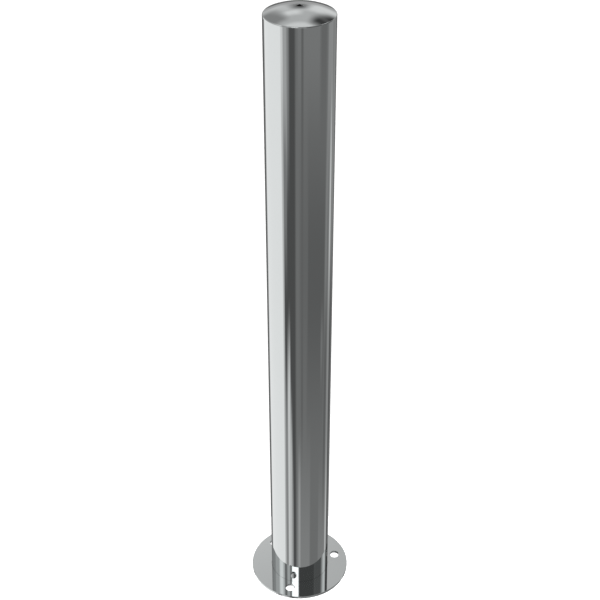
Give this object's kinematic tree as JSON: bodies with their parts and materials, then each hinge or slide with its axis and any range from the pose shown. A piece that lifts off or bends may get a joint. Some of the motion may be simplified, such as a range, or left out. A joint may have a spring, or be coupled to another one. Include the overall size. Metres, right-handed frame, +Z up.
{
  "type": "retractable bollard",
  "caption": "Polished round post with a domed cap that sinks through a bolted round flange into a casing in the ground, lifted by gas struts and latched by a key turned in the cap.",
  "frame": {"origin": "centre of the flange's underside, level with the paving, on the post's axis", "axes": "+Z up along the post; the first anchor bolt hole is 15 degrees from +X towards +Y, and the latch bolts are thrown at 45 and 225 degrees from +X"},
  "size_m": [0.15, 0.15, 2.032],
  "materials": {
    "polished_steel": "mirror-polished stainless steel",
    "galvanised_steel": "hot-dip galvanised, dull",
    "zinc_steel": "zinc-plated, satin",
    "strut_paint": "black paint, satin",
    "guide_polymer": "acetal, matte",
    "seal_rubber": "matte",
    "turned_brass": "machined"
  },
  "bodies": {
    "casing": {"base_flange": "polished_steel", "casing_tube": "galvanised_steel", "anchor_lugs": "galvanised_steel", "upper_guide_bush": "guide_polymer", "bush_screws": "zinc_steel", "wiper_seal": "seal_rubber", "top_stop_ring": "seal_rubber", "upper_strike_boxes": "galvanised_steel", "lower_strike_boxes": "galvanised_steel", "casing_foot_ring": "galvanised_steel", "floor_gasket": "seal_rubber", "casing_floor": "galvanised_steel", "floor_bolts": "zinc_steel", "floor_nuts": "zinc_steel", "drain_spout": "galvanised_steel", "drain_strainer": "polished_steel", "bump_stops": "seal_rubber", "strut_rods": "zinc_steel", "strut_pistons": "turned_brass", "rod_locknuts": "zinc_steel"},
    "post": {"post_tube": "polished_steel", "domed_cap": "polished_steel", "lock_bush": "polished_steel", "strut_bulkhead": "galvanised_steel", "strut_cylinders": "strut_paint", "strut_glands": "zinc_steel", "strut_top_plugs": "zinc_steel", "strut_top_nuts": "zinc_steel", "rod_spiders": "guide_polymer", "foot_block": "zinc_steel", "foot_plate": "zinc_steel", "foot_screws": "zinc_steel", "foot_side_screws": "zinc_steel", "lower_guide_ring": "guide_polymer"},
    "key_train": {"key_plug": "polished_steel", "rod_coupler": "zinc_steel", "lock_rod": "zinc_steel", "rod_collar": "zinc_steel", "cam_disc": "turned_brass"},
    "latch_a": {"latch_bolt_a": "zinc_steel", "latch_pin_a": "zinc_steel"},
    "latch_b": {"latch_bolt_b": "zinc_steel", "latch_pin_b": "zinc_steel"}
  },
  "joints": [
    {"name": "post_slide", "type": "slide", "parent": "casing", "child": "post", "axis": [0, 0, 1], "range_m": [-0.908, 0], "stiffness_N_per_m": 40, "springref_m": 3.25},
    {"name": "key_turn", "type": "hinge", "parent": "post", "child": "key_train", "pos_m": [0, 0, 0], "axis": [0, 0, 1], "range_deg": [0, 90]},
    {"name": "latch_a_slide", "type": "slide", "parent": "post", "child": "latch_a", "axis": [0.7071, 0.7071, 0], "range_m": [0, 0.008]},
    {"name": "latch_b_slide", "type": "slide", "parent": "post", "child": "latch_b", "axis": [-0.7071, -0.7071, 0], "range_m": [0, 0.008]}
  ],
  "couplings": [
    {"joint": "latch_a_slide", "follows": "key_turn", "m_per_rad": 0.005093},
    {"joint": "latch_b_slide", "follows": "key_turn", "m_per_rad": 0.005093}
  ]
}
